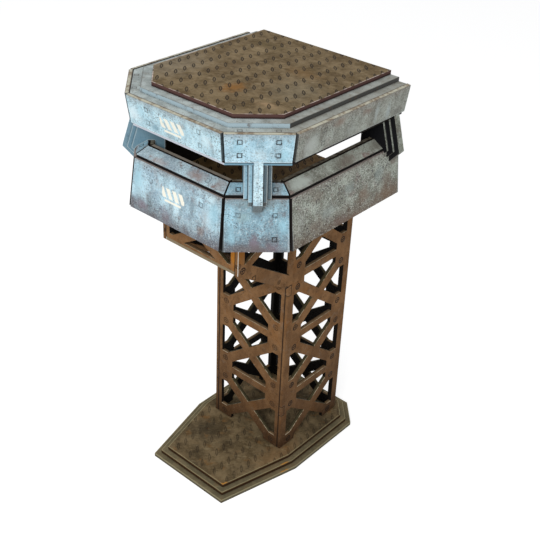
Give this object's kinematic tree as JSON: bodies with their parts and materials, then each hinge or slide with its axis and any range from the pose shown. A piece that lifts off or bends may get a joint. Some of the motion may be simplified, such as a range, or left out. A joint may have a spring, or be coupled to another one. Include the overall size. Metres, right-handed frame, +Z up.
{
  "type": "tabletop model watchtower",
  "caption": "Model watchtower: an open lattice tower on a stepped base carries an armoured cabin with an open back, firing slits, stepped pillars and a flat roof.",
  "frame": {"origin": "on the base's underside, on the lattice tower's upright axis", "axes": "+Z up; -Y towards the cabin's front wall; +X to the right of someone who looks along +Y"},
  "size_m": [0.1646, 0.1768, 0.3326],
  "materials": {
    "tread_paint": "brown paint, worn, on hardboard with tread marks",
    "lattice_paint": "rust brown paint, dirty, on hardboard",
    "plate_paint": "pale steel paint with rust stains, on hardboard",
    "inside_paint": "dark brown paint, on hardboard"
  },
  "bodies": {
    "root": {"base_lower_plate": "tread_paint", "base_middle_plate": "tread_paint", "base_upper_plate": "tread_paint", "tower_front_panel": "lattice_paint", "tower_back_panel": "lattice_paint", "tower_left_panel": "lattice_paint", "tower_right_panel": "lattice_paint", "corbel_front_panel": "lattice_paint", "corbel_bottom_panel": "lattice_paint", "cabin_floor": "tread_paint", "front_wall": "plate_paint", "left_corner_wall": "plate_paint", "right_corner_wall": "plate_paint", "left_wall": "plate_paint", "right_wall": "plate_paint", "front_cap": "plate_paint", "left_corner_cap": "plate_paint", "right_corner_cap": "plate_paint", "left_cap": "plate_paint", "right_cap": "plate_paint", "front_lining": "inside_paint", "left_corner_lining": "inside_paint", "right_corner_lining": "inside_paint", "left_lining": "inside_paint", "right_lining": "inside_paint", "left_corner_pillar": "plate_paint", "right_corner_pillar": "plate_paint", "left_back_pillar": "plate_paint", "right_back_pillar": "plate_paint", "ceiling_board": "inside_paint", "front_fascia": "plate_paint", "left_corner_fascia": "plate_paint", "right_corner_fascia": "plate_paint", "left_fascia": "plate_paint", "right_fascia": "plate_paint", "roof_lower_plate": "plate_paint", "roof_middle_plate": "plate_paint", "roof_top_plate": "tread_paint"}
  },
  "joints": []
}
